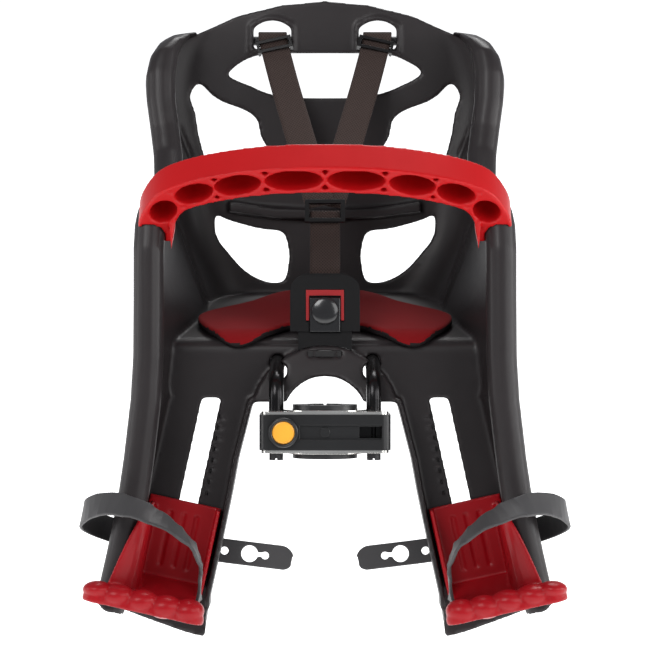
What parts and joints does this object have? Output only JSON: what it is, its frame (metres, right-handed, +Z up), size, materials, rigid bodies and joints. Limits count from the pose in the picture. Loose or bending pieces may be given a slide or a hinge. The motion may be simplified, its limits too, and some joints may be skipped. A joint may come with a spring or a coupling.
{
  "type": "child bicycle seat, handlebar stem mounted",
  "caption": "Child's bicycle seat hung on the handlebar stem: moulded bucket with leg guards, red guard bar, harness, clamp bracket and adjustable footrests.",
  "frame": {"origin": "centre of the stem bore, midway up the clamp bracket", "axes": "X to the viewer's right as the seat is seen from the front, Y from the viewer towards the backrest, Z up; the stem axis leans back 17 degrees from Z"},
  "size_m": [0.396, 0.3653, 0.4795],
  "materials": {
    "shell_plastic": "fine grained satin moulding",
    "bracket_plastic": "moulded nylon",
    "bright_steel": "plated, lightly brushed",
    "liner_plastic": "moulded",
    "screw_steel": "zinc plated",
    "button_orange": "glossy",
    "latch_steel": "stamped",
    "spring_steel": "drawn wire",
    "rod_steel": "satin dark coating",
    "tip_plastic": "moulded",
    "zinc_plate": "zinc plated",
    "guard_red": "semi-gloss moulding",
    "pad_foam": "fine matte cover over foam, dark edge",
    "webbing": "woven polypropylene webbing",
    "buckle_black": "satin moulding",
    "anchor_plastic": "moulded",
    "tongue_red": "semi-gloss",
    "button_black": "glossy",
    "footrest_red": "glossy moulding",
    "key_plastic": "moulded",
    "peg_plastic": "moulded",
    "strap_rubber": "smooth grey rubber"
  },
  "bodies": {
    "bracket": {"clamp_front": "bracket_plastic", "clamp_rear": "bracket_plastic", "upper_plate": "bright_steel", "lower_plate": "bright_steel", "stem_liner": "liner_plastic", "clamp_screws": "screw_steel", "button_spring": "spring_steel"},
    "release": {"release_button": "button_orange"},
    "latch": {"latch_bar": "latch_steel"},
    "seat": {"seat_shell": "shell_plastic", "support_fork": "rod_steel", "rod_tips": "tip_plastic", "fork_clamp_front": "zinc_plate", "fork_clamp_rear": "zinc_plate", "fork_screws": "screw_steel", "guard_bar": "guard_red", "seat_pad": "pad_foam", "shoulder_strap_left": "webbing", "shoulder_strap_right": "webbing", "centre_strap": "webbing", "slide_buckle_left": "buckle_black", "slide_buckle_right": "buckle_black", "centre_adjuster": "buckle_black", "anchor_bar_left": "anchor_plastic", "anchor_bar_right": "anchor_plastic", "buckle_body": "buckle_black", "buckle_tongue": "tongue_red", "buckle_spring": "spring_steel"},
    "buckle_release": {"buckle_button": "button_black"},
    "foot_left": {"footrest_left": "footrest_red", "footrest_key_left": "key_plastic", "strap_peg_left": "peg_plastic", "foot_strap_left": "strap_rubber"},
    "foot_right": {"footrest_right": "footrest_red", "footrest_key_right": "key_plastic", "strap_peg_right": "peg_plastic", "foot_strap_right": "strap_rubber"}
  },
  "joints": [
    {"name": "release_press", "type": "slide", "parent": "bracket", "child": "release", "axis": [0, 0.9563, -0.2924], "range_m": [0, 0.003], "stiffness_N_per_m": 1500, "springref_m": -0.002, "deforming": ["button_spring"]},
    {"name": "latch_slide", "type": "slide", "parent": "bracket", "child": "latch", "axis": [1, 0, 0], "range_m": [0, 0.0025]},
    {"name": "seat_lift", "type": "slide", "parent": "bracket", "child": "seat", "axis": [0, 0.2924, 0.9563], "range_m": [0, 0.045]},
    {"name": "buckle_press", "type": "slide", "parent": "seat", "child": "buckle_release", "axis": [0, 0.9563, -0.2924], "range_m": [0, 0.0025], "stiffness_N_per_m": 1200, "springref_m": -0.002, "deforming": ["buckle_spring"]},
    {"name": "footrest_left_height", "type": "slide", "parent": "seat", "child": "foot_left", "axis": [0.2147, 0.2856, 0.934], "range_m": [0, 0.058]},
    {"name": "footrest_right_height", "type": "slide", "parent": "seat", "child": "foot_right", "axis": [-0.2147, 0.2856, 0.934], "range_m": [0, 0.058]}
  ],
  "couplings": [
    {"joint": "latch_slide", "follows": "release_press", "ratio": 0.8333}
  ]
}
